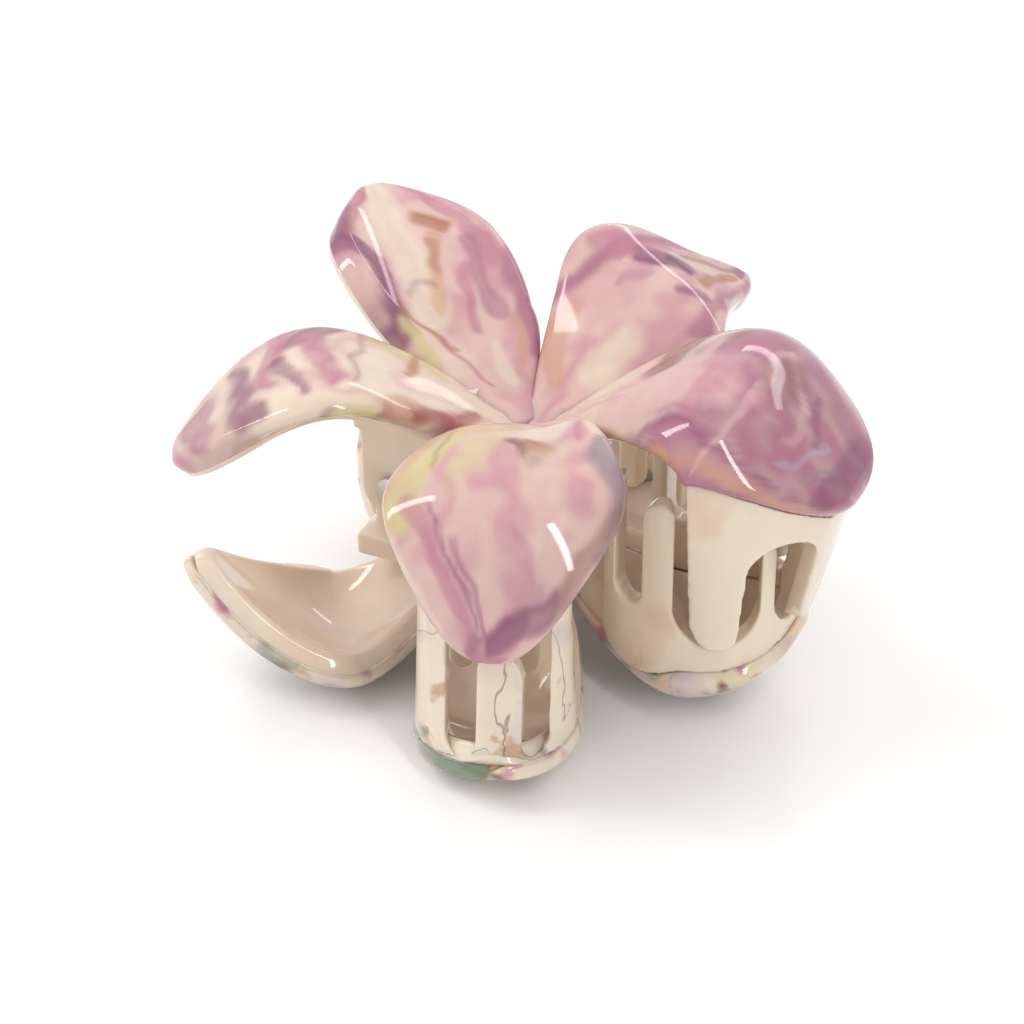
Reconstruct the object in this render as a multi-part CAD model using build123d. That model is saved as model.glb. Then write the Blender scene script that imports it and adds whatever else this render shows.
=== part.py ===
from build123d import *
import math
import os

os.makedirs("parts", exist_ok=True)

# Flower claw clip in laminated cellulose acetate, lying on its lower flower.
# Two five-petal flowers are hinged back to back. In each, a marbled outer sheet is
# laminated to a cream inner sheet. Three petals are jaws with glued-in combs, the
# other two are the handles that are squeezed together.
# Everything is drawn about the flower's own centre: X runs from the hinge to the
# jaws, Y along the hinge pin, Z up, with z = 0 midway between the two flowers.

# ---- driving sizes, mm -------------------------------------------------------
SHEET = 4.1             # the two laminated sheets together
MARBLE = {"upper": 3.1, "lower": 1.8}   # the marbled outer one of them
ROOT_R = 4.5            # where the petals leave the flower's centre
CUP_Z = 9.5             # outer face of the sheet there, from the mid plane
HUB_R = 5.5             # button that joins the marbled roots
COMB_T = 2.6            # thickness of the jaw comb walls
COMB_DEPTH = 1.3        # comb face set back from the marbled face above it
COMB_BITE = 1.2         # how far a comb reaches up into its petal
TOOTH_T = 2.0           # thickness of the inner front and back teeth

PIN_X = -13.0           # hinge axis
PIN_R = 1.25
RUN = 0.05              # running clearance on the pin, radial
EAR_R = 4.4
EAR_T = 2.6
EAR_GAP = 0.4           # side play between neighbouring ears
INNER_EAR_Y = 3.6       # inside face of the lower ears
CAP_R = 2.1
CAP_T = 0.9
SLEEVE_T = 0.7          # plastic tube the coil sits on
WIRE_R = 0.45
COIL_PITCH = 1.0
COIL_TURNS = 5
COIL_FIT = 0.15         # coil to tube, radial
SEAT_Z = 7.4            # face of a hinge block's plate, from the mid plane
PLATE_T = 3.0
PLATE_X0, PLATE_X1 = -18.4, -6.5
LEG_X = -17.4           # where the spring legs press


# ---- smooth curves -------------------------------------------------------------
def smooth(ys):
    """natural cubic through equally spaced stations over 0..1"""
    n = len(ys)
    h = 1.0 / (n - 1)
    lower, rhs, m = [0.0] * n, [0.0] * n, [0.0] * n
    for i in range(1, n - 1):
        piv = 4.0 - lower[i - 1]
        lower[i] = 1.0 / piv
        rhs[i] = (6.0 * (ys[i + 1] - 2 * ys[i] + ys[i - 1]) / h ** 2 - rhs[i - 1]) / piv
    for i in range(n - 2, 0, -1):
        m[i] = rhs[i] - lower[i] * m[i + 1]

    def value(u):
        i = min(int(u / h), n - 2)
        a, b = (i + 1) - u / h, u / h - i
        return (a * ys[i] + b * ys[i + 1]
                + ((a ** 3 - a) * m[i] + (b ** 3 - b) * m[i + 1]) * h * h / 6.0)
    return value


def joined(a, b):
    """solid between two four-sided faces, closed by ruled sides"""
    sides = []
    for e in a.edges():
        f = min(b.edges(), key=lambda k: (k.center() - e.center()).length)
        sides.append(Face.make_surface_from_curves(e, f))
    return Solid(Shell([a, b] + sides))


class Petal:
    """One petal. Along its length five stations give the distance from the flower's
    centre (r), height of the outer face (z) and half width (w). left and right are
    the slopes in degrees at the two rims, positive when the rim turns down, and
    twist rolls the petal. bend says how late across the width the slope sets in."""

    def __init__(self, angle, r, z, w, left, right, twist=(0, 0, 0, 0, 0), bend=1.3,
                 taper=0.6, up=1):
        self.angle, self.bend, self.taper, self.up = math.radians(angle), bend, taper, up
        self.r, self.z, self.w = smooth(r), smooth(z), smooth(w)
        self.left, self.right, self.twist = smooth(left), smooth(right), smooth(twist)

    def half(self, u):
        k = max(0.0, (u - self.taper) / (1 - self.taper))
        return self.w(u) * math.sqrt(max(0.0, 1 - k * k))

    def at(self, u, v, depth):
        """point at u along and v across the petal, depth below the outer face"""
        e = 0.002
        a, b = max(u - e, 0), min(u + e, 1)
        along = Vector(self.r(b) - self.r(a), 0, self.z(b) - self.z(a)).normalized()
        flat = along.cross(Vector(0, 1, 0))
        roll = math.radians(self.twist(u))
        side = Vector(0, 1, 0) * math.cos(roll) + flat * math.sin(roll)
        normal = along.cross(side)
        rim = math.radians((self.left if v > 0 else self.right)(u))
        across = self.half(u) * abs(v)
        full = self.w(u)
        out = drop = 0.0
        for i in range(16):
            slope = rim * ((i + 0.5) / 16 * across / full) ** self.bend
            out += math.cos(slope) * across / 16
            drop += math.sin(slope) * across / 16
        slope = rim * (across / full) ** self.bend
        sign = 1 if v > 0 else -1
        face = normal * math.cos(slope) + side * (sign * math.sin(slope))
        p = (Vector(self.r(u), 0, self.z(u)) + side * (sign * out) - normal * drop
             - face * depth)
        c, s = math.cos(self.angle), math.sin(self.angle)
        return Vector(p.X * c - p.Y * s, p.X * s + p.Y * c, p.Z * self.up)

    def face(self, depth):
        """smooth face through a grid of points at one depth of the sheet"""
        us = [0.985 * math.sin(i / 16 * math.pi / 2) for i in range(17)]
        return Face.make_surface_from_array_of_points(
            [[self.at(u, j / 6 - 1, depth) for j in range(13)] for u in us],
            tol=0.01, min_deg=3, max_deg=3)

    def sheet(self, top, bottom):
        """solid between two depths of the laminated sheet"""
        return joined(self.face(top), self.face(bottom))


# ---- the ten petals ------------------------------------------------------------
FRONT, BACK = -72, 70
UPPER = {
    "jaw": Petal(0, (ROOT_R, 11, 22, 32.4, 42.3), (CUP_Z, 15.5, 22.3, 20.3, 9.3),
                 (3, 8.5, 17.5, 20, 18.5), (5, 50, 80, 86, 84), (5, 50, 80, 86, 84),
                 bend=2.0, taper=0.55),
    "front": Petal(FRONT, (ROOT_R, 11, 22, 32, 35), (CUP_Z, 14.3, 16, 9.5, -2.5),
                   (3, 8, 14.2, 13.8, 11.5), (-15, -30, 20, 38, 35), (0, 20, 35, 38, 35),
                   taper=0.5),
    "back": Petal(BACK, (ROOT_R, 12, 22, 31, 39), (CUP_Z, 14, 18.8, 16.2, 13),
                  (3, 8, 12.2, 6.6, 3), (0, 0, 0, -10, -10), (0, 15, 25, 20, 0),
                  (0, 5, 12, 12, 5), taper=0.86),
    "near_handle": Petal(-144, (ROOT_R, 12, 22, 32.5, 42.5), (CUP_Z, 14.5, 19, 16.5, 8.2),
                         (3, 7.9, 11.2, 10.6, 6.5), (0, 35, 72, 72, 40), (0, 8, 15, 12, 8),
                         (0, 2, 6, 6, 2), bend=4.0),
    "far_handle": Petal(144, (ROOT_R, 12, 22, 32, 41.5), (CUP_Z, 13, 17.3, 20, 21.2),
                        (3, 7.8, 10.2, 9.2, 5.8), (0, -15, -35, -40, -20),
                        (0, -10, -10, -10, 0), bend=1.6),
}
LOWER_HANDLE = dict(r=(ROOT_R, 12, 22, 33, 42), z=(CUP_Z, 15.5, 21.6, 17, 6.2),
                    w=(3, 7.6, 12, 11.6, 6.5), bend=1.2, up=-1)
LOWER_JAW = dict(r=(ROOT_R, 11, 20, 29, 35.6), z=(CUP_Z, 15, 20.6, 21.4, 17.4),
                 w=(3, 7.8, 10.6, 11.2, 10.6), taper=0.6, up=-1)
LOWER = {
    "jaw": Petal(0, (ROOT_R, 11, 21, 30, 35.5), (CUP_Z, 15, 20.2, 18, 12),
                 (3, 8, 14.5, 15.5, 15), (5, 35, 68, 78, 76), (5, 35, 68, 78, 76),
                 bend=1.8, up=-1),
    "front": Petal(FRONT, left=(0, 18, 42, 56, 56), right=(0, 15, 28, 32, 32), **LOWER_JAW),
    "back": Petal(BACK, left=(0, 15, 30, 35, 35), right=(0, 15, 30, 35, 35), **LOWER_JAW),
    "near_handle": Petal(-142, left=(0, 15, 30, 25, 5), right=(0, 12, 50, 56, 34), **LOWER_HANDLE),
    "far_handle": Petal(142, left=(0, 12, 50, 56, 34), right=(0, 15, 30, 25, 5), **LOWER_HANDLE),
}
HALVES = (("upper", UPPER, 1), ("lower", LOWER, -1))


def flower(petals, top, bottom, hub_r, hub_top, hub_bottom, up):
    """five petals joined by the button at their roots"""
    hub = Pos(0, 0, up * (hub_top + hub_bottom) / 2) * Cylinder(hub_r, hub_top - hub_bottom)
    sheets = [p.sheet(top, bottom) for p in petals.values()]
    for turn in range(3, 8):             # handles first; another order if one is left out
        body = hub
        for i in range(5):
            body = body.fuse(sheets[(turn + i) % 5])
        if body.volume > sum(k.volume for k in sheets):
            return body.solid()
    raise ValueError("petals do not join")


def biggest(shape):
    return max(shape.solids(), key=lambda k: k.volume)


parts = {}
for half, petals, up in HALVES:
    marble = MARBLE[half]
    glue = CUP_Z - marble + 0.3          # glue plane of the two sheets in the middle
    parts[half + "_petals"] = flower(petals, 0, marble, HUB_R, CUP_Z + 0.6, glue, up)
    parts[half + "_liner"] = flower(petals, marble, SHEET, HUB_R + marble, glue,
                                    glue - SHEET + marble, up)


# ---- combs ---------------------------------------------------------------------
def rim_wall(petal, start, tip_z, lean_x, lean_y, bulge=0.0):
    """wall hanging from a petal's rim, from station start round the nose and back;
    its free edge is at height tip_z and leans in by lean_x at the nose, lean_y beside"""
    us = [start, (start + 0.9) / 2, 0.9, 0.96]
    path = [petal.at(u, -1, COMB_DEPTH) for u in us] + [petal.at(0.985, 0, COMB_DEPTH)]
    path += [petal.at(u, 1, COMB_DEPTH) for u in reversed(us)]
    rail = Edge.make_spline(path)
    a = petal.angle
    faces = []
    for inset in (0, COMB_T):
        grid = []
        for i in range(25):
            p, t = rail @ (i / 24), rail % (i / 24)
            n = Vector(t.Y, -t.X, 0).normalized()
            nose = (n.X * math.cos(a) + n.Y * math.sin(a)) ** 2
            lean = lean_x * nose + lean_y * (1 - nose)
            top = p.Z + petal.up * COMB_BITE
            row = []
            for k in (j / 8 for j in range(9)):
                swell = bulge * math.sin(math.pi * min(1, k * 1.6)) - lean * k - inset
                row.append(Vector(p.X, p.Y, top + (tip_z - top) * k) + n * swell)
            grid.append(row)
        faces.append(Face.make_surface_from_array_of_points(grid, tol=0.01, min_deg=3, max_deg=3))
    return joined(*faces)


def bar(x, y, angle, width, low, high):
    """upright slot cutter, open outwards from (x, y) along angle, with round ends"""
    r = width / 2
    body = Box(60, width, max(high - low - width, 0.01), align=(Align.MIN, Align.CENTER, Align.CENTER))
    ends = [Pos(0, 0, s * (high - low - width) / 2) * Rot(0, 90, 0)
            * Cylinder(r, 60, align=(Align.CENTER, Align.CENTER, Align.MIN)) for s in (1, -1)]
    return Pos(x, y, (high + low) / 2) * Rot(0, 0, angle) * body.fuse(*ends)


def round_tip(x, y, angle, width, tip, up):
    """waste round the end of a tooth whose free end is at height tip"""
    r = width / 2
    block = Box(60, width + 1.2, 2 * r, align=(Align.MIN, Align.CENTER, Align.CENTER))
    keep = Pos(0, 0, up * r) * Rot(0, 90, 0) * Cylinder(r, 60, align=(Align.CENTER, Align.CENTER, Align.MIN))
    return Pos(x, y, tip) * Rot(0, 0, angle) * (block - keep)


def seated(wall, half):
    """comb or block trimmed to the sheets it is glued to"""
    return biggest(wall - parts[half + "_liner"] - parts[half + "_petals"])


def off_axis(angle, s):
    """point beside the flower's centre, s to the left of a petal's axis"""
    a = math.radians(angle + 90)
    return s * math.cos(a), s * math.sin(a)


# the jaw's two combs share one barrel: the teeth of each stand in the slots of the other
NOSE_X = 23.0            # middle of the barrel, where its slots fan out from
JAW_TIP, JAW_ROOT = -9.0, 6.5            # upper jaw comb: tooth tips, slot ends
SIDE_TOOTH, JAW_TOOTH_W, JAW_SLOT_W = 62, 5.4, 8.6
LOW_TIP, LOW_ROOT, LOW_REAR_ROOT = 9.0, -9.4, -6.0   # lower jaw comb
LOW_TOOTH_W = 4.8
wall = seated(rim_wall(UPPER["jaw"], 0.61, JAW_TIP, 4.7, 2.4), "upper")
for g in (-33, 33):
    wall -= bar(NOSE_X, 0, g, JAW_SLOT_W, -40, JAW_ROOT)
for g in (-SIDE_TOOTH, 0, SIDE_TOOTH):
    wall -= round_tip(NOSE_X, 0, g, JAW_TOOTH_W, JAW_TIP, 1)
parts["upper_jaw_comb"] = biggest(wall)

wall = seated(rim_wall(LOWER["jaw"], 0.26, LOW_TIP, 0.3, -0.2), "lower")
for x, g, w, root in ((17.5, -90, 4.0, LOW_REAR_ROOT), (17.5, 90, 4.0, LOW_REAR_ROOT),
                      (NOSE_X, -61, 10.0, LOW_ROOT), (NOSE_X, 61, 10.0, LOW_ROOT),
                      (NOSE_X, 0, 9.2, LOW_ROOT)):
    wall -= bar(x, 0, g, w, root, 40)
for x, g in ((22, -90), (22, 90), (NOSE_X, -36), (NOSE_X, 36)):
    wall -= round_tip(x, 0, g, LOW_TOOTH_W, LOW_TIP, -1)
parts["lower_jaw_comb"] = biggest(wall)

# front and back combs: the lower one stands outside, the upper teeth hang inside it
LEG_ROOT, LEG_TIP, LEG_MID_TIP = -16.0, 1.0, -3.5
LEG_SLOTS = ((-3.6, 3.6), (4.8, 2.8))    # place across the petal and width
INNER_TEETH = ((-4.8, 3.2), (2.6, 3.2))
INNER_R, INNER_TIP, INNER_ROOT = 21.5, -12.0, 4.0
for name, angle in (("front", FRONT), ("back", BACK)):
    out = math.cos(math.radians(angle)), math.sin(math.radians(angle))
    wall = seated(rim_wall(LOWER[name], 0.60, LEG_TIP, 4.6, 0.8), "lower")
    for s, w in LEG_SLOTS:
        wall -= bar(*off_axis(angle, s), angle, w, LEG_ROOT, 40)
    mid = (LEG_SLOTS[0][0] + LEG_SLOTS[1][0]) / 2
    mid_w = LEG_SLOTS[1][0] - LEG_SLOTS[0][0] - (LEG_SLOTS[0][1] + LEG_SLOTS[1][1]) / 2
    over = Pos(*off_axis(angle, mid), LEG_MID_TIP + 25) * Rot(0, 0, angle)
    wall -= over * Box(60, mid_w + 2, 50, align=(Align.MIN, Align.CENTER, Align.CENTER))
    wall -= round_tip(*off_axis(angle, mid), angle, mid_w, LEG_MID_TIP, -1)
    parts["lower_%s_comb" % name] = biggest(wall)

    low, high = INNER_TIP, UPPER[name].z(0.5) - 0.6 * SHEET
    (s0, w0), (s1, w1) = INNER_TEETH
    plate = Pos(out[0] * INNER_R, out[1] * INNER_R, 0) * Rot(0, 0, angle)
    wide = (s1 + w1 / 2) - (s0 - w0 / 2)
    block = Pos(0, (s0 - w0 / 2 + s1 + w1 / 2) / 2, (low + high) / 2) * Box(TOOTH_T, wide, high - low)
    wall = seated(plate * block, "upper")
    wall -= bar(*off_axis(angle, (s0 + s1) / 2), angle, s1 - s0 - (w0 + w1) / 2, -40, INNER_ROOT)
    for s, w in INNER_TEETH:
        wall -= round_tip(*off_axis(angle, s), angle, w, INNER_TIP, 1)
    parts["upper_%s_comb" % name] = biggest(wall)


# ---- hinge ---------------------------------------------------------------------
def across(y0, y1, r):
    """round bar along Y between y0 and y1, about the hinge axis"""
    return Pos(PIN_X, (y0 + y1) / 2, 0) * Rot(90, 0, 0) * Cylinder(r, y1 - y0)


OUTER_EAR_Y = INNER_EAR_Y + EAR_T + EAR_GAP
PIN_END = OUTER_EAR_Y + EAR_T
for half, up, y, bore in (("upper", 1, OUTER_EAR_Y, PIN_R), ("lower", -1, INNER_EAR_Y, PIN_R + RUN)):
    block = Pos((PLATE_X0 + PLATE_X1) / 2, 0, up * (SEAT_Z + PLATE_T / 2)) * Box(
        PLATE_X1 - PLATE_X0, 2 * PIN_END, PLATE_T)
    for side in (1, -1):
        lo, hi = sorted((side * y, side * (y + EAR_T)))
        web = Pos(PIN_X, (lo + hi) / 2, up * SEAT_Z / 2) * Box(2 * EAR_R, EAR_T, SEAT_Z)
        block = block.fuse(across(lo, hi, EAR_R), web)
    parts[half + "_hinge_block"] = seated(block - across(-20, 20, bore), half)

parts["hinge_pin"] = across(-PIN_END, PIN_END, PIN_R).solid()
parts["pin_caps"] = Compound([across(PIN_END, PIN_END + CAP_T, CAP_R).solid(),
                              across(-PIN_END - CAP_T, -PIN_END, CAP_R).solid()])
SLEEVE_R = PIN_R + RUN + SLEEVE_T
SLEEVE_Y = INNER_EAR_Y - EAR_GAP / 2
parts["spring_sleeve"] = (across(-SLEEVE_Y, SLEEVE_Y, SLEEVE_R)
                          - across(-SLEEVE_Y, SLEEVE_Y, PIN_R + RUN)).solid()

# torsion spring: its legs run back from the coil and press the two plates apart
COIL_R = SLEEVE_R + COIL_FIT + WIRE_R
leg_x, leg_z = LEG_X - PIN_X, SEAT_Z - 0.62 * WIRE_R
reach = math.hypot(leg_x, leg_z)
start = math.atan2(leg_z, leg_x) + math.acos(COIL_R / reach)
leg = math.sqrt(reach ** 2 - COIL_R ** 2)
turns = COIL_TURNS - (start - math.pi) / math.pi
coil_w = turns * COIL_PITCH
coil = Edge.make_helix(COIL_PITCH, coil_w, COIL_R, lefthand=True)
place = Pos(PIN_X, -coil_w / 2, 0) * Rot(-90, 0, 0) * Rot(0, 0, -math.degrees(start))
first = Edge.make_line(coil @ 0 - (coil % 0) * leg, coil @ 0)
last = Edge.make_line(coil @ 1, coil @ 1 + (coil % 1) * leg)
path = Wire([first, coil, last])
spring = sweep(Plane(path @ 0, z_dir=path % 0) * Circle(WIRE_R), path=path)
parts["torsion_spring"] = (place * spring).solid()

# ---- row frame: origin under the middle of the whole clip, on the table ----------
box = Compound(list(parts.values())).bounding_box()
shift = Pos(-(box.min.X + box.max.X) / 2, -(box.min.Y + box.max.Y) / 2, -box.min.Z)
for name, shape in parts.items():
    moved = shift * shape
    solids = moved.solids()
    export_step(Compound(solids) if len(solids) > 1 else solids[0], "parts/%s.step" % name)
    print(name, len(solids), all(k.is_valid for k in solids), round(moved.volume, 1))
print("size", box.size, "hinge at", (shift * Vertex(PIN_X, 0, 0)).center())
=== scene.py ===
import math
import bpy
import numpy as np
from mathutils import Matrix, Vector, noise


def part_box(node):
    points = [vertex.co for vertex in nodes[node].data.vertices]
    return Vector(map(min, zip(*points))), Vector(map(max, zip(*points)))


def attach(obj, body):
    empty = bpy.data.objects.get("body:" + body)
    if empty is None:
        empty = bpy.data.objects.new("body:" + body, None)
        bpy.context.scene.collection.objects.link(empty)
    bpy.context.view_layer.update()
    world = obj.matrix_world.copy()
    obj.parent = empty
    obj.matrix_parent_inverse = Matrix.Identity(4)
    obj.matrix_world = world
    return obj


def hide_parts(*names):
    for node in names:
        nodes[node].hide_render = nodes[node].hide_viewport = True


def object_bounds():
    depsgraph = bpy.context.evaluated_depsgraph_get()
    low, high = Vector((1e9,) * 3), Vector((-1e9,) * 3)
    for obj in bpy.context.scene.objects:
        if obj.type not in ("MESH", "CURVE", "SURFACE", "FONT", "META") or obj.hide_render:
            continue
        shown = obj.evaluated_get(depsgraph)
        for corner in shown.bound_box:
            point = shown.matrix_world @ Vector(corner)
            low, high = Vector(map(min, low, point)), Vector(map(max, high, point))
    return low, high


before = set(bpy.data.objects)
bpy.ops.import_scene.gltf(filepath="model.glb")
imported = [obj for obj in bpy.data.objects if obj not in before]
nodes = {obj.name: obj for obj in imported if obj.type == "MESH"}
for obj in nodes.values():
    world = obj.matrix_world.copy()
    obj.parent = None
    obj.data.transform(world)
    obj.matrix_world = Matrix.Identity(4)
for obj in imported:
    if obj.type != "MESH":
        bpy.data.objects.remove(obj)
cad_lo, cad_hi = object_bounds()

# ---- sizes, mm, about the flower's centre -------------------------------------------
MM = 0.001
PIN_X = -13.0                                         # the hinge pin, behind the centre
ROOT_R = 4.5                                          # how far out the petals start
CUP_Z = 9.5                                           # their height there
THICK = {"upper": (3.1, 4.1), "lower": (1.8, 4.1)}    # marbled sheet, whole sheet
SHEET_ROUND = (1.5, 0.3)                              # rim radius at the outer and inner face
LINER_ROUND = (0.2, 0.9)
LINER_INSET = 0.15                                    # the liner's rim lies inside the sheet's
LINER_LAP = 0.3                                       # the liner's skin starts inside the sheet
WEB_U, WEB_SHARE, WEB_MM = 0.32, 0.80, 0.4            # petals widen into each other at the root

# ---- the skins' grid: u is 0 at a petal's root and 1 at its tip -----------------------
EYE_U = 0.11                     # below 0, this much of u leads from the root to the axis
EYE_DIP = 0.75                   # share of the root's slope that carries on towards the axis
SKIN_START, SKIN_RUN = -0.108, 1.106     # from just off the axis to just short of the tip
TIP_U = 0.955                    # from here on the sheet thins to a rounded tip
TIP_CROWD = 0.35                 # how strongly the rings crowd towards the tip
RINGS, FACE_POINTS, RIM_POINTS = 110, 44, 7
BEND_STEPS = 16                  # steps in the sum that curves the sheet across
SPINE_STEP = 0.002               # step in u that gives the spine's direction

pin_lo, pin_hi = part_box("hinge_pin")
CENTRE = (pin_lo + pin_hi) / 2 - Vector((PIN_X * MM, 0, 0))


def smooth(ys):
    """natural cubic through equally spaced stations over 0..1"""
    n = len(ys)
    h = 1.0 / (n - 1)
    a = np.zeros((n, n))
    b = np.zeros(n)
    a[0, 0] = a[-1, -1] = 1
    for i in range(1, n - 1):
        a[i, i - 1:i + 2] = 1, 4, 1
        b[i] = 6 * (ys[i + 1] - 2 * ys[i] + ys[i - 1]) / h ** 2
    m = np.linalg.solve(a, b)
    ys = np.array(ys, float)

    def value(u):
        u = np.asarray(u, float)
        i = np.clip((u / h).astype(int), 0, n - 2)
        q = u / h - i
        p = 1 - q
        curve = (p ** 3 - p) * m[i] + (q ** 3 - q) * m[i + 1]
        return p * ys[i] + q * ys[i + 1] + curve * h * h / 6
    return value


class Petal:
    """the same petal as the solid one: spine, half width, rim slopes and twist"""

    def __init__(self, angle, r, z, w, left, right, twist=(0, 0, 0, 0, 0), bend=1.3,
                 taper=0.6, up=1):
        self.angle, self.bend, self.taper, self.up = math.radians(angle), bend, taper, up
        self.r, self.z, self.w = smooth(r), smooth(z), smooth(w)
        self.left, self.right, self.twist = smooth(left), smooth(right), smooth(twist)

    def spine(self, u):
        """radius and height; inside the root the spine dips into the flower's eye"""
        inner = np.minimum(u, 0.0) / EYE_U * ROOT_R
        slope = (self.z(0.01) - self.z(0.0)) / (self.r(0.01) - self.r(0.0))
        r = self.r(np.maximum(u, 0)) + inner
        z = self.z(np.maximum(u, 0)) + inner * slope * EYE_DIP
        return r, z

    def half(self, u):
        """half the width, with a rounded tip and a root as wide as its share of the ring"""
        k = np.clip((u - self.taper) / (1 - self.taper), 0, 1)
        w = self.w(np.maximum(u, 0)) * np.sqrt(np.maximum(1 - k * k, 0))
        r, _ = self.spine(u)
        near = np.clip(1 - u / WEB_U, 0, 1)
        return w + near * np.maximum(r * WEB_SHARE + WEB_MM - w, 0)

    def at(self, u, side_mm, depth):
        """points: u along, side_mm across (signed arc length), depth below the face"""
        r0, z0 = self.spine(u - SPINE_STEP)
        r1, z1 = self.spine(u + SPINE_STEP)
        r, z = self.spine(u)
        along = np.stack([r1 - r0, 0 * r, z1 - z0], -1)
        along /= np.linalg.norm(along, axis=-1, keepdims=True)
        level = np.zeros_like(along)
        level[..., 1] = 1
        flat = np.cross(along, level)
        on_petal = np.clip(u, 0, 1)
        roll = np.radians(self.twist(on_petal))[..., None]
        side = level * np.cos(roll) + flat * np.sin(roll)
        normal = np.cross(along, side)
        sign = np.where(side_mm > 0, 1.0, -1.0)
        across = np.abs(side_mm)
        full = np.maximum(self.w(on_petal), 1.0)
        rim = np.radians(np.where(side_mm > 0, self.left(on_petal), self.right(on_petal)))
        out = np.zeros_like(across)
        drop = np.zeros_like(across)
        for i in range(BEND_STEPS):
            lean = rim * ((i + 0.5) / BEND_STEPS * across / full) ** self.bend
            out += np.cos(lean) * across / BEND_STEPS
            drop += np.sin(lean) * across / BEND_STEPS
        lean = rim * (across / full) ** self.bend
        face = normal * np.cos(lean)[..., None] + side * (sign * np.sin(lean))[..., None]
        p = np.stack([r, 0 * r, z], -1) + side * (sign * out)[..., None]
        p = p - normal * drop[..., None] - face * np.asarray(depth)[..., None]
        c, s = math.cos(self.angle), math.sin(self.angle)
        x = p[..., 0] * c - p[..., 1] * s
        y = p[..., 0] * s + p[..., 1] * c
        return np.stack([x, y, p[..., 2] * self.up], -1)


FRONT, BACK = -72, 70
UPPER = {
    "jaw": Petal(0, (ROOT_R, 11, 22, 32.4, 42.3), (CUP_Z, 15.5, 22.3, 20.3, 9.3),
                 (3, 8.5, 17.5, 20, 18.5), (5, 50, 80, 86, 84), (5, 50, 80, 86, 84),
                 bend=2.0, taper=0.55),
    "front": Petal(FRONT, (ROOT_R, 11, 22, 32, 35), (CUP_Z, 14.3, 16, 9.5, -2.5),
                   (3, 8, 14.2, 13.8, 11.5), (-15, -30, 20, 38, 35), (0, 20, 35, 38, 35),
                   taper=0.5),
    "back": Petal(BACK, (ROOT_R, 12, 22, 31, 39), (CUP_Z, 14, 18.8, 16.2, 13),
                  (3, 8, 12.2, 6.6, 3), (0, 0, 0, -10, -10), (0, 15, 25, 20, 0),
                  (0, 5, 12, 12, 5), taper=0.86),
    "near_handle": Petal(-144, (ROOT_R, 12, 22, 32.5, 42.5), (CUP_Z, 14.5, 19, 16.5, 8.2),
                         (3, 7.9, 11.2, 10.6, 6.5), (0, 35, 72, 72, 40), (0, 8, 15, 12, 8),
                         (0, 2, 6, 6, 2), bend=4.0),
    "far_handle": Petal(144, (ROOT_R, 12, 22, 32, 41.5), (CUP_Z, 13, 17.3, 20, 21.2),
                        (3, 7.8, 10.2, 9.2, 5.8), (0, -15, -35, -40, -20),
                        (0, -10, -10, -10, 0), bend=1.6),
}
LOWER_HANDLE = dict(r=(ROOT_R, 12, 22, 33, 42), z=(CUP_Z, 15.5, 21.6, 17, 6.2),
                    w=(3, 7.6, 12, 11.6, 6.5), bend=1.2, up=-1)
LOWER_JAW = dict(r=(ROOT_R, 11, 20, 29, 35.6), z=(CUP_Z, 15, 20.6, 21.4, 17.4),
                 w=(3, 7.8, 10.6, 11.2, 10.6), taper=0.6, up=-1)
LOWER = {
    "jaw": Petal(0, (ROOT_R, 11, 21, 30, 35.5), (CUP_Z, 15, 20.2, 18, 12),
                 (3, 8, 14.5, 15.5, 15), (5, 35, 68, 78, 76), (5, 35, 68, 78, 76),
                 bend=1.8, up=-1),
    "front": Petal(FRONT, left=(0, 18, 42, 56, 56), right=(0, 15, 28, 32, 32), **LOWER_JAW),
    "back": Petal(BACK, left=(0, 15, 30, 35, 35), right=(0, 15, 30, 35, 35), **LOWER_JAW),
    "near_handle": Petal(-142, left=(0, 15, 30, 25, 5), right=(0, 12, 50, 56, 34), **LOWER_HANDLE),
    "far_handle": Petal(142, left=(0, 12, 50, 56, 34), right=(0, 15, 30, 25, 5), **LOWER_HANDLE),
}


def section(half, top, bottom, round_top, round_bottom):
    """the closed outline across a petal: signed place across and depth, rings x points"""
    rt = np.minimum(round_top, half)
    rb = np.minimum(round_bottom, half)
    turns = [j / (RIM_POINTS - 1) * math.pi / 2 for j in range(RIM_POINTS)]
    places = [2 * j / (FACE_POINTS - 1) - 1 for j in range(FACE_POINTS)]
    ring = []
    for f in places:                                  # outer face, right to left
        ring.append((f * (half - rt), top + 0 * half))
    for t in turns[1:]:                               # left rim, away from the outer face
        ring.append((half - rt + rt * math.sin(t), top + rt * (1 - math.cos(t))))
    for t in turns:                                   # left rim, on to the inner face
        ring.append((half - rb + rb * math.cos(t), bottom - rb * (1 - math.sin(t))))
    for f in places[1:]:                              # inner face, left to right
        ring.append((-f * (half - rb), bottom + 0 * half))
    for t in turns[1:]:                               # right rim, away from the inner face
        ring.append((-(half - rb + rb * math.sin(t)), bottom - rb * (1 - math.cos(t))))
    for t in turns[:-1]:                              # right rim, on to the outer face
        ring.append((-(half - rt + rt * math.cos(t)), top + rt * (1 - math.sin(t))))
    across = np.array([point[0] for point in ring]).T
    depth = np.array([point[1] for point in ring]).T
    return across, depth


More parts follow.
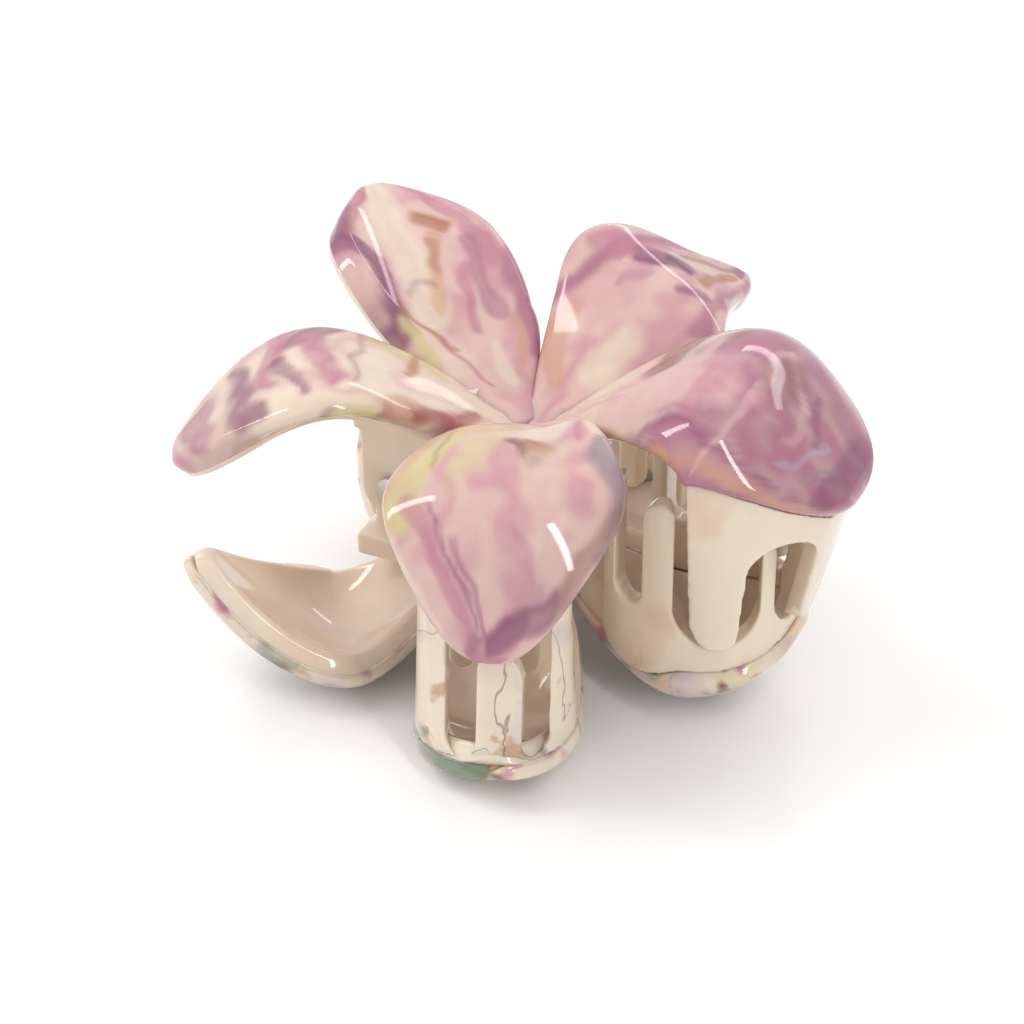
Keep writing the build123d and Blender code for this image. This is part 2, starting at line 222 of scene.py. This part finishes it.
def petal_skin(petal, top, bottom, rounds, inset):
    """one petal's skin: its points, ring by ring, and the place of each along and across"""
    k = np.arange(RINGS) / (RINGS - 1)
    us = SKIN_START + SKIN_RUN * (TIP_CROWD * np.sin(k * math.pi / 2) + (1 - TIP_CROWD) * k)
    tip = np.clip((us - TIP_U) / (1.0 - TIP_U), 0, 1)
    squeeze = np.sqrt(np.maximum(1 - tip ** 2, 0.0))
    half = np.maximum(petal.half(us) - inset, 0.05)
    side, depth = section(half, top, bottom, *rounds)
    middle = (top + bottom) / 2
    depth = middle + (depth - middle) * squeeze[:, None]
    along = np.repeat(us[:, None], side.shape[1], 1)
    points = petal.at(along, side, depth)
    across = side / np.maximum(half[:, None], 1.0)
    return points, along.ravel(), across.ravel()


def skin_faces(first, ring, up):
    """four-sided faces between the rings and one face over each end, all facing out"""
    faces = []
    for i in range(RINGS - 1):
        for j in range(ring):
            a = first + i * ring + j
            b = first + i * ring + (j + 1) % ring
            quad = (a, b, b + ring, a + ring)
            faces.append(quad if up > 0 else quad[::-1])
    root = tuple(range(first, first + ring))
    tip = tuple(k + (RINGS - 1) * ring for k in root)
    faces.append(root[::-1] if up > 0 else root)
    faces.append(tip if up > 0 else tip[::-1])
    return faces


def sheet_mesh(name, petals, top, bottom, rounds, inset, paint):
    """the five petals of one layer as rounded closed skins, painted point by point"""
    verts, faces, tints = [], [], []
    for pid, petal in petals.items():
        points, along, across = petal_skin(petal, top, bottom, rounds, inset)
        ring = points.shape[1]
        flat = points.reshape(-1, 3)
        faces += skin_faces(len(verts), ring, petal.up)
        verts += list(flat)
        tints.append(paint(pid, petal, along, across, flat))
    mesh = bpy.data.meshes.new(name)
    mesh.from_pydata([tuple(Vector(v) * MM + CENTRE) for v in verts], [], faces)
    mesh.validate()
    mesh.polygons.foreach_set("use_smooth", [True] * len(mesh.polygons))
    layer = mesh.color_attributes.new("tint", "FLOAT_COLOR", "POINT")
    data = np.ones((len(verts), 4))
    data[:, :3] = np.clip(np.concatenate(tints), 0, 1)
    layer.data.foreach_set("color", data.ravel())
    obj = bpy.data.objects.new(name, mesh)
    bpy.context.scene.collection.objects.link(obj)
    return obj


# ---- colours ------------------------------------------------------------------------
def rgb(h):
    """linear colour from an sRGB hex word"""
    v = [int(h[i:i + 2], 16) / 255 for i in (0, 2, 4)]
    return np.array([x / 12.92 if x <= 0.04045 else ((x + 0.055) / 1.055) ** 2.4 for x in v])


PINK, ROSE, MAUVE, PLUM = rgb("dcb3b2"), rgb("bf7c90"), rgb("ae7389"), rgb("87456a")
CREAM, IVORY, PEACH, AMBER = rgb("e6d3c0"), rgb("e6d6c2"), rgb("cf9f80"), rgb("ab7145")
BROWN, DARK, LIME, GREY = rgb("8a5d52"), rgb("4b2f33"), rgb("d3c98e"), rgb("9c8b92")
GREEN, OLIVE, LILAC, RED = rgb("6f8873"), rgb("8a8052"), rgb("b9a3bd"), rgb("a04f52")

# ribbons of colour per petal: points (along, across), half width in mm, colour, strength
MARBLING = {
    "jaw": (MAUVE, [
        ((0.0, -0.5), (0.30, -0.45), 7.5, CREAM, 0.95), ((0.0, 0.5), (0.34, 0.5), 6.0, CREAM, 0.9),
        ((0.36, -0.35), (0.50, -0.30), 5.2, PINK, 0.9), ((0.52, -0.75), (0.55, -0.1), 1.4, ROSE, 0.5),
        ((0.38, 0.05), (0.43, 0.75), 2.1, BROWN, 0.85), ((0.50, 0.0), (0.52, 0.8), 0.9, PINK, 0.75),
        ((0.53, 0.2), (0.56, 0.8), 1.3, BROWN, 0.55), ((0.66, -0.9), (0.66, -0.2), 0.7, PINK, 0.7),
        ((0.66, -0.2), (0.70, 0.35), 0.7, PINK, 0.7), ((0.70, 0.35), (0.80, 0.05), 0.8, PINK, 0.65),
        ((0.80, 0.05), (0.80, -0.35), 0.8, PINK, 0.45), ((0.70, 0.0), (0.76, 0.2), 2.2, BROWN, 0.55),
        ((0.05, -1.0), (0.45, -0.97), 1.7, PEACH, 0.9), ((0.45, -0.97), (0.93, -1.0), 1.3, PEACH, 0.7),
        ((0.40, -0.78), (0.86, -0.85), 0.7, PLUM, 0.5), ((0.45, -0.6), (0.60, -0.55), 0.5, PLUM, 0.35),
        ((0.84, -0.6), (0.90, -0.1), 0.5, LILAC, 0.7), ((0.88, -0.62), (0.94, -0.3), 0.45, GREY, 0.8),
        ((0.92, -0.62), (0.97, -0.35), 0.4, GREY, 0.8), ((0.97, -0.9), (0.99, 0.9), 1.6, PLUM, 0.7),
        ((0.60, 1.0), (0.90, 0.9), 1.2, PLUM, 0.7), ((0.86, -0.2), (0.84, 0.2), 0.7, PLUM, 0.6),
        ((0.35, 0.95), (0.7, 1.0), 2.4, ROSE, 0.5)]),
    "front": (PINK, [
        ((0.05, 0.1), (0.34, 0.3), 2.6, CREAM, 0.9), ((0.30, -0.6), (0.60, -0.85), 2.0, LIME, 0.85),
        ((0.33, -0.15), (0.52, -0.3), 2.6, LIME, 0.6), ((0.34, -0.75), (0.50, -0.62), 0.5, OLIVE, 0.5),
        ((0.44, 0.05), (0.50, 0.30), 1.0, BROWN, 0.9), ((0.42, 0.2), (0.45, 0.35), 0.8, AMBER, 0.8),
        ((0.58, -0.75), (0.92, -0.35), 1.1, ROSE, 0.75), ((0.60, -0.6), (0.88, -0.25), 0.5, PLUM, 0.55),
        ((0.72, -0.35), (0.92, -0.1), 0.6, MAUVE, 0.75), ((0.66, -0.95), (0.90, -0.9), 0.8, CREAM, 0.8),
        ((0.95, -0.5), (0.90, 0.5), 1.4, MAUVE, 0.8), ((0.93, 0.0), (0.85, 0.75), 1.6, PLUM, 0.75),
        ((0.99, -0.8), (0.99, 0.5), 1.0, ROSE, 0.8), ((0.25, 1.0), (0.45, 0.9), 1.2, CREAM, 0.9),
        ((0.42, 0.85), (0.62, 1.0), 2.0, GREY, 0.85), ((0.62, 0.9), (0.82, 0.9), 2.0, BROWN, 0.55),
        ((0.50, 0.35), (0.70, 0.4), 2.6, CREAM, 0.5), ((0.28, 0.75), (0.40, 0.62), 0.5, ROSE, 0.7),
        ((0.70, 0.1), (0.78, 0.35), 0.5, ROSE, 0.4)]),
    "near_handle": (CREAM, [
        ((0.0, 0.0), (0.16, -0.6), 2.4, CREAM, 0.9), ((0.20, -0.7), (0.33, -0.7), 2.4, LIME, 0.8),
        ((0.24, -0.9), (0.30, 0.1), 0.7, AMBER, 0.75), ((0.40, -0.9), (0.46, 0.5), 0.5, BROWN, 0.5),
        ((0.48, -0.9), (0.60, -0.5), 2.2, PLUM, 0.8), ((0.55, -0.5), (0.52, 0.4), 1.8, ROSE, 0.9),
        ((0.62, -0.9), (0.72, 0.2), 1.7, ROSE, 0.9), ((0.66, -0.2), (0.62, 0.5), 1.0, PLUM, 0.7),
        ((0.72, 0.3), (0.64, 0.65), 0.9, CREAM, 0.85), ((0.80, -0.6), (0.76, 0.6), 1.5, PLUM, 0.75),
        ((0.90, -0.4), (0.88, 0.6), 1.5, MAUVE, 0.8), ((0.99, -0.8), (0.97, 0.8), 1.8, ROSE, 0.9),
        ((0.70, 0.98), (0.95, 0.98), 1.0, MAUVE, 0.9), ((0.62, 0.98), (0.72, 0.98), 1.3, PEACH, 0.8),
        ((0.56, 0.95), (0.59, 0.98), 1.4, BROWN, 0.8), ((0.44, 0.95), (0.54, 0.95), 1.6, LIME, 0.9),
        ((0.37, 0.9), (0.41, 0.98), 0.8, PLUM, 0.6), ((0.28, 0.85), (0.36, 0.9), 1.4, PEACH, 0.7),
        ((0.20, 0.7), (0.30, 0.85), 0.7, RED, 0.75), ((0.10, 0.5), (0.20, 0.85), 1.6, RED, 0.7)]),
    "far_handle": (PINK, [
        ((0.95, 0.15), (0.40, 0.45), 3.0, CREAM, 0.95), ((0.35, 0.7), (0.15, 0.5), 2.0, CREAM, 0.7),
        ((0.74, -0.2), (0.70, -0.4), 1.3, AMBER, 0.85), ((0.66, -0.2), (0.40, 0.3), 1.0, PEACH, 0.8),
        ((0.62, -0.1), (0.52, 0.05), 0.8, AMBER, 0.5), ((0.9, -0.7), (0.50, -0.75), 1.2, ROSE, 0.75),
        ((0.60, -0.55), (0.34, -0.5), 1.4, MAUVE, 0.75), ((0.50, -0.95), (0.15, -1.0), 1.4, MAUVE, 0.9),
        ((0.50, -0.35), (0.30, 0.0), 0.9, ROSE, 0.75), ((0.97, 0.7), (0.72, 1.0), 1.9, ROSE, 0.85),
        ((0.82, 0.8), (0.55, 0.9), 0.5, PEACH, 0.9), ((0.85, 1.0), (0.35, 1.0), 1.5, PLUM, 0.9),
        ((0.70, 0.75), (0.50, 0.72), 0.6, PLUM, 0.6), ((0.36, 0.95), (0.20, 0.9), 1.0, LIME, 0.8),
        ((0.42, 0.85), (0.22, 0.4), 0.5, AMBER, 0.75), ((0.30, 0.55), (0.05, 0.2), 0.4, ROSE, 0.7),
        ((0.22, -0.2), (0.06, -0.2), 1.0, IVORY, 0.8), ((0.30, -0.7), (0.10, -0.6), 0.8, PEACH, 0.7),
        ((0.47, 0.2), (0.44, 0.6), 0.5, GREY, 0.5)]),
    "back": (PINK, [
        ((0.05, 0.3), (0.30, 0.6), 1.6, PEACH, 0.75), ((0.10, -0.4), (0.30, -0.5), 2.0, CREAM, 0.9),
        ((0.38, 0.2), (0.44, 0.6), 3.0, PINK, 0.9), ((0.30, 1.0), (0.85, 1.0), 1.6, MAUVE, 0.95),
        ((0.50, 0.75), (0.66, 0.55), 1.7, ROSE, 0.8), ((0.56, 0.4), (0.62, -0.1), 1.5, PLUM, 0.9),
        ((0.60, 0.15), (0.60, -0.2), 0.6, DARK, 0.7), ((0.60, -0.4), (0.85, -0.4), 1.1, AMBER, 0.9),
        ((0.70, 0.2), (0.92, 0.0), 1.1, OLIVE, 0.7), ((0.52, -0.35), (0.56, -0.6), 0.9, PLUM, 0.7),
        ((0.45, -0.8), (0.92, -0.8), 1.1, MAUVE, 0.8), ((0.92, -0.3), (1.0, 0.2), 1.4, PLUM, 0.8),
        ((0.7, -0.9), (0.85, -0.95), 0.6, CREAM, 0.7), ((0.45, 0.3), (0.50, 0.1), 1.0, MAUVE, 0.5)]),
}


def swirl(points, scale, seed):
    """two smooth noise values at every point"""
    second = Vector((7.3, 1.9, 4.1))
    out = np.empty((len(points), 2))
    for i, p in enumerate(points):
        q = Vector((p[0] * scale + seed, p[1] * scale - seed, p[2] * scale))
        out[i] = noise.noise(q), noise.noise(q + second)
    return out.T


def blend(col, other, amount):
    return col + (other - col) * np.clip(amount, 0, 1)[:, None]


def wave(x):
    """a sine that runs between 0 and 1"""
    return 0.5 + 0.5 * np.sin(x)


# In the paints, a and b are broad noise, c and d middle noise, e and f fine noise.
RIBBON_U, RIBBON_HALF = 0.15, 5.0      # ribbons count a petal as at least this wide
UPPER_LIGHT = 0.9                      # share of the colours' light the upper flower keeps
RIM_V = 0.93                           # beyond this, across, the rim darkens


def ribbon_end(petal, along, across, long):
    """a ribbon's end in mm on the flattened petal"""
    width = max(float(petal.w(max(along, RIBBON_U))), RIBBON_HALF)
    return along * long, across * width


def upper_paint(pid, petal, u, v, points):
    """the marbling of the upper petals: a slow flow, then the ribbons, then the rim"""
    base, ribbons = MARBLING[pid]
    a, b = swirl(points, 0.09, 3.0)
    c, d = swirl(points, 0.32, 11.0)
    e, f = swirl(points, 0.9, 5.0)
    long = petal.r(1.0) - petal.r(0.0)
    wide = np.maximum(petal.w(np.clip(u, RIBBON_U, 1)), RIBBON_HALF)
    x = u * long + 2.4 * a + 1.0 * c + 0.12 * e
    y = v * wide + 2.4 * b + 0.9 * d + 0.12 * f
    col = np.tile(base, (len(u), 1))
    flow = wave(0.55 * y + 0.10 * x + 5 * a + 2.5 * c)
    col = blend(col, CREAM, 0.26 * flow ** 2)
    col = blend(col, ROSE, 0.40 * (1 - flow) ** 2)
    for start, end, w, colour, strength in ribbons:
        x0, y0 = ribbon_end(petal, *start, long)
        x1, y1 = ribbon_end(petal, *end, long)
        dx, dy = x1 - x0, y1 - y0
        t = np.clip(((x - x0) * dx + (y - y0) * dy) / max(dx * dx + dy * dy, 1e-6), 0, 1)
        dist = np.hypot(x - x0 - t * dx, y - y0 - t * dy)
        streak = wave(2.6 * (x * dy - y * dx) / math.hypot(dx, dy) + 3 * c)
        soft = np.clip((w * 1.25 - dist) / (0.62 * w + 0.25), 0, 1)
        eased = soft * soft * (3 - 2 * soft)
        col = blend(col, colour, strength * eased * (0.8 + 0.2 * streak))
    rim = np.clip((np.abs(v) - RIM_V) / (1 - RIM_V), 0, 1)
    return blend(col, PLUM, 0.18 * rim * wave(0.5 * x + 3 * a)) * UPPER_LIGHT


def lower_paint(pid, petal, u, v, points):
    """the lower petals: ivory with soft clouds, a few veins and a darker foot in front"""
    a, b = swirl(points, 0.10, 21.0)
    c, d = swirl(points, 0.33, 31.0)
    e, f = swirl(points, 0.9, 15.0)
    col = np.tile(IVORY * 0.97, (len(u), 1))
    clouds = (
        (PEACH, a + 0.3 * c, 0.05, 1.0),              # colour, noise, where it starts, steepness
        (LILAC, b - 0.4 * c, 0.12, 1.8),
        (LIME, -a - 0.3 * d, 0.15, 1.25),
        (GREEN, b + 0.5 * d, 0.30, 4.0),
        (BROWN, c - a + 0.3 * e, 0.42, 3.75),
        (ROSE, d - b + 0.3 * f, 0.45, 3.0))
    for colour, cloud, start, steep in clouds:
        col = blend(col, colour, (cloud - start) * steep)
    vein = np.abs(c + 0.35 * e + 0.12)
    col = blend(col, DARK, (0.035 - vein) * 15.4 * np.clip(b * 3, 0, 1))
    if pid == "front":                                # patches on the foot it stands on
        nose = np.clip((u - 0.72) / 0.2, 0, 1)
        green = np.clip((-v - 0.15 + 0.5 * c) * 4, 0, 1)
        olive = np.clip((0.35 - np.abs(v - 0.25) + 0.4 * d) * 5, 0, 1)
        dark = np.clip((0.16 - np.abs(v - 0.42) + 0.3 * e) * 6, 0, 1)
        col = blend(col, GREEN, nose * green * 0.85)
        col = blend(col, OLIVE, nose * olive * 0.7)
        col = blend(col, DARK, nose * dark * 0.7)
    return col


def liner_paint(pid, petal, u, v, points):
    """the liner: ivory with a breath of peach and lilac"""
    a, b = swirl(points, 0.1, 41.0)
    c, d = swirl(points, 0.35, 51.0)
    col = np.tile(IVORY, (len(u), 1))
    col = blend(col, PEACH, 0.22 * (0.5 + a + 0.4 * c))
    return blend(col, LILAC, 0.25 * (0.3 + b + 0.4 * d))


# ---- materials --------------------------------------------------------------------------
VEIN_SCALE, VEIN_WARP = 160, 0.012
FADE_M = 0.004                         # a patch near the table fades out over this height


def new_material(name):
    m = bpy.data.materials.new(name)
    m.use_nodes = True
    return m, m.node_tree, m.node_tree.nodes["Principled BSDF"]


def settings(node, **values):
    """sets input sockets by name; an underscore stands for a space"""
    for socket, value in values.items():
        node.inputs[socket.replace("_", " ")].default_value = value


def noise_at(tree, where, **values):
    tex = tree.nodes.new("ShaderNodeTexNoise")
    settings(tex, **values)
    tree.links.new(where, tex.inputs["Vector"])
    return tex


def ramp_of(tree, value, low, high):
    """colours between two stops, each a place and a colour"""
    ramp = tree.nodes.new("ShaderNodeValToRGB")
    for stop, (place, colour) in zip(ramp.color_ramp.elements, (low, high)):
        stop.position = place
        stop.color = (*colour, 1)
    tree.links.new(value, ramp.inputs["Fac"])
    return ramp.outputs["Color"]


def range_of(tree, value, start, end, top=1.0):
    """0 at start, top at end"""
    ramp = tree.nodes.new("ShaderNodeMapRange")
    ramp.inputs["From Min"].default_value = start
    ramp.inputs["From Max"].default_value = end
    ramp.inputs["To Max"].default_value = top
    tree.links.new(value, ramp.inputs["Value"])
    return ramp.outputs["Result"]


def maths(tree, operation, first):
    """a sum on one value; a second value is left to the caller"""
    node = tree.nodes.new("ShaderNodeMath")
    node.operation = operation
    tree.links.new(first, node.inputs[0])
    return node


def acetate(name, tinted, vein=0.25, sub=0.25):
    """polished sheet: painted points or plain ivory, with faint fine veins over it"""
    m, tree, bsdf = new_material(name)
    link = tree.links.new
    where = tree.nodes.new("ShaderNodeTexCoord").outputs["Object"]
    warp = noise_at(tree, where, Scale=VEIN_SCALE * 0.4, Detail=3)
    bent = tree.nodes.new("ShaderNodeVectorMath")
    bent.operation = "MULTIPLY_ADD"
    bent.inputs[1].default_value = (VEIN_WARP, VEIN_WARP, VEIN_WARP)
    link(warp.outputs["Color"], bent.inputs[0])
    link(where, bent.inputs[2])
    veins = noise_at(tree, bent.outputs["Vector"], Scale=VEIN_SCALE, Detail=5, Roughness=0.6)
    tone = ramp_of(tree, veins.outputs["Fac"], (0.35, (0.78, 0.70, 0.72)), (0.65, (1.12, 1.1, 1.08)))
    mix = tree.nodes.new("ShaderNodeMix")
    mix.data_type = "RGBA"
    mix.blend_type = "MULTIPLY"
    mix.inputs["Factor"].default_value = vein
    if tinted:
        tint = tree.nodes.new("ShaderNodeVertexColor")
        tint.layer_name = "tint"
        link(tint.outputs["Color"], mix.inputs["A"])
    else:
        mix.inputs["A"].default_value = (*IVORY, 1)
    link(tone, mix.inputs["B"])
    link(mix.outputs["Result"], bsdf.inputs["Base Color"])
    settings(bsdf, Roughness=0.07, IOR=1.49, Coat_Weight=0.2, Coat_Roughness=0.04)
    settings(bsdf, Subsurface_Weight=sub, Subsurface_Radius=(1.0, 0.75, 0.6), Subsurface_Scale=0.0025)
    return m


def overlay(m, colour, scale, start, full, amount, offset=0.0, height=None, ridge=False):
    """patches of another colour over what the acetate already shows, growing from none
    where the noise is at start to amount where it is at full; for a ridge, thin veins
    where the noise is near its middle; height keeps them below that, near the table"""
    tree = m.node_tree
    link = tree.links.new
    socket = tree.nodes["Principled BSDF"].inputs["Base Color"]
    below = socket.links[0].from_socket
    where = tree.nodes.new("ShaderNodeTexCoord").outputs["Object"]
    shift = tree.nodes.new("ShaderNodeVectorMath")
    shift.inputs[1].default_value = (offset, offset * 0.7, -offset)
    link(where, shift.inputs[0])
    tex = noise_at(tree, shift.outputs["Vector"], Scale=scale, Detail=4, Distortion=0.6)
    value = tex.outputs["Fac"]
    if ridge:
        off = maths(tree, "SUBTRACT", value)
        off.inputs[1].default_value = 0.5
        value = maths(tree, "ABSOLUTE", off.outputs["Value"]).outputs["Value"]
    factor = range_of(tree, value, start, full, amount)
    if height:
        split = tree.nodes.new("ShaderNodeSeparateXYZ")
        link(where, split.inputs["Vector"])
        low = range_of(tree, split.outputs["Z"], height, height - FADE_M)
        both = maths(tree, "MULTIPLY", factor)
        link(low, both.inputs[1])
        factor = both.outputs["Value"]
    mix = tree.nodes.new("ShaderNodeMix")
    mix.data_type = "RGBA"
    link(factor, mix.inputs["Factor"])
    link(below, mix.inputs["A"])
    mix.inputs["B"].default_value = (*colour, 1)
    link(mix.outputs["Result"], socket)


def metal(name, colour, rough, brush):
    """a metallic surface with a faint mottle; the tube in the hinge wears it too"""
    m, tree, bsdf = new_material(name)
    where = tree.nodes.new("ShaderNodeTexCoord").outputs["Object"]
    mottle = noise_at(tree, where, Scale=brush)
    dim = [c * 0.8 for c in colour]
    tone = ramp_of(tree, mottle.outputs["Fac"], (0.0, dim), (1.0, colour))
    tree.links.new(tone, bsdf.inputs["Base Color"])
    settings(bsdf, Metallic=1, Roughness=rough)
    return m


marble = acetate("marbled_acetate", True)
pale_marble = acetate("pale_marbled_acetate", True, vein=0.18)
cream_sheet = acetate("cream_acetate_sheet", True, vein=0.08, sub=0.3)
cream = acetate("cream_acetate", False, vein=0.10, sub=0.3)
jaw_cream = acetate("cream_acetate_jaw", False, vein=0.10, sub=0.3)
overlay(jaw_cream, PEACH, 90, 0.52, 0.66, 0.35)
overlay(jaw_cream, AMBER, 120, 0.50, 0.60, 0.45, offset=0.3, height=0.012)
leg_cream = acetate("cream_acetate_leg", False, vein=0.10, sub=0.3)
overlay(leg_cream, LILAC, 110, 0.55, 0.66, 0.45, offset=0.5)
overlay(leg_cream, AMBER, 160, 0.60, 0.68, 0.6, offset=0.9, height=0.020)
overlay(leg_cream, GREEN, 130, 0.54, 0.60, 0.85, offset=0.2, height=0.010)
overlay(leg_cream, DARK, 60, 0.007, 0.002, 0.55, offset=0.7, height=0.022, ridge=True)
steel = metal("plated_steel", (0.78, 0.76, 0.72), 0.18, 900)
wire = metal("spring_steel", (0.62, 0.61, 0.60), 0.3, 2500)
sleeve = metal("sleeve", (0.8, 0.8, 0.78), 0.4, 500)

# ---- the flowers ------------------------------------------------------------------------
for half, petals in (("upper", UPPER), ("lower", LOWER)):
    marbled, whole = THICK[half]
    body = half + "_half"
    paint = upper_paint if half == "upper" else lower_paint
    skin = sheet_mesh(half + "_petals_skin", petals, 0.0, marbled, SHEET_ROUND, 0.0, paint)
    skin.data.materials.append(marble if half == "upper" else pale_marble)
    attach(skin, body)
    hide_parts(half + "_petals")
    inner = sheet_mesh(half + "_liner_skin", petals, marbled - LINER_LAP, whole, LINER_ROUND,
                       LINER_INSET, liner_paint)
    inner.data.materials.append(cream_sheet)
    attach(inner, body)
    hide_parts(half + "_liner")


# ---- the CAD pieces that are shown as they are ------------------------------------------
VOXEL_M = 0.00022                      # grid that the acetate pieces' edges are rounded on
SMOOTHING = 14                         # passes of smoothing over that grid


def finish_cad(name, material):
    o = nodes[name]
    o.data.materials.clear()
    o.data.materials.append(material)
    return o


def round_edges(o):
    """rounds the edges, as polishing does"""
    grid = o.modifiers.new("remesh", "REMESH")
    grid.mode = "VOXEL"
    grid.voxel_size = VOXEL_M
    grid.use_smooth_shade = True
    passes = o.modifiers.new("smooth", "SMOOTH")
    passes.factor = 0.5
    passes.iterations = SMOOTHING


for name, material in (("upper_jaw_comb", jaw_cream), ("lower_jaw_comb", jaw_cream),
                       ("lower_front_comb", leg_cream), ("lower_back_comb", leg_cream),
                       ("upper_front_comb", cream), ("upper_back_comb", cream),
                       ("upper_hinge_block", cream), ("lower_hinge_block", cream)):
    round_edges(finish_cad(name, material))
for name, material in (("hinge_pin", steel), ("pin_caps", steel),
                       ("spring_sleeve", sleeve), ("torsion_spring", wire)):
    finish_cad(name, material)

# ---- table, light, camera ---------------------------------------------------------------
TABLE_M = 4
bpy.ops.mesh.primitive_plane_add(size=TABLE_M, location=(0, 0, cad_lo.z))
floor = bpy.context.object
floor.name = "table_top"
table_white, _, table_shader = new_material("white_table")
settings(table_shader, Base_Color=(0.93, 0.93, 0.93, 1), Roughness=0.16, Specular_IOR_Level=0.35)
floor.data.materials.append(table_white)

AIM = Vector((0, 0, 0.02))             # the lamps point at the middle of the clip


def lamp(name, loc, size, size_y, power, mirrored=True):
    """a rectangular lamp; mirrored says whether the gloss shows it"""
    data = bpy.data.lights.new(name, "AREA")
    data.shape = "RECTANGLE"
    data.size = size
    data.size_y = size_y
    data.energy = power
    o = bpy.data.objects.new(name, data)
    bpy.context.scene.collection.objects.link(o)
    o.location = loc
    o.rotation_mode = "QUATERNION"
    o.rotation_quaternion = (AIM - Vector(loc)).to_track_quat("-Z", "Y")
    o.visible_glossy = mirrored


# two broad lamps give the soft light, three narrow ones the highlights
lamp("window", (-0.42, -0.10, 0.50), 0.45, 0.35, 1.2, mirrored=False)
lamp("back_soft", (-0.10, 0.62, 0.42), 0.9, 0.3, 1.5, mirrored=False)
lamp("window_bar", (-0.46, -0.12, 0.38), 0.05, 0.45, 0.6)
lamp("back_bar", (0.10, 0.60, 0.40), 0.60, 0.05, 0.35)
lamp("side_strip", (0.37, -0.25, 0.42), 0.045, 0.50, 0.9)

ROOM_LIGHT = 0.76
world = bpy.data.worlds.new("studio")
bpy.context.scene.world = world
world.use_nodes = True
settings(world.node_tree.nodes["Background"], Color=(1, 1, 1, 1), Strength=ROOM_LIGHT)

AZIMUTH, ELEVATION = math.radians(25), math.radians(33)
DISTANCE = 340.0                       # mm from the camera to the flower's centre
PER_MM, PICTURE = 8.4, 1024            # picture points to a mm there; picture width in points
SENSOR = 36                            # mm
SHIFT = (-15, -34)                     # picture points, for the photograph's framing
back = Vector((math.sin(AZIMUTH) * math.cos(ELEVATION),
               -math.cos(AZIMUTH) * math.cos(ELEVATION),
               math.sin(ELEVATION)))
cam_data = bpy.data.cameras.new("camera")
cam = bpy.data.objects.new("camera", cam_data)
bpy.context.scene.collection.objects.link(cam)
cam.location = CENTRE + back * DISTANCE * MM
cam.rotation_mode = "QUATERNION"
cam.rotation_quaternion = (-back).to_track_quat("-Z", "Y")
cam_data.sensor_width = SENSOR
cam_data.lens = PER_MM * DISTANCE / PICTURE * SENSOR
cam_data.shift_x = SHIFT[0] / PICTURE
cam_data.shift_y = SHIFT[1] / PICTURE
cam_data.clip_start = 0.01
bpy.context.scene.camera = cam
bpy.context.scene.view_settings.view_transform = "Standard"
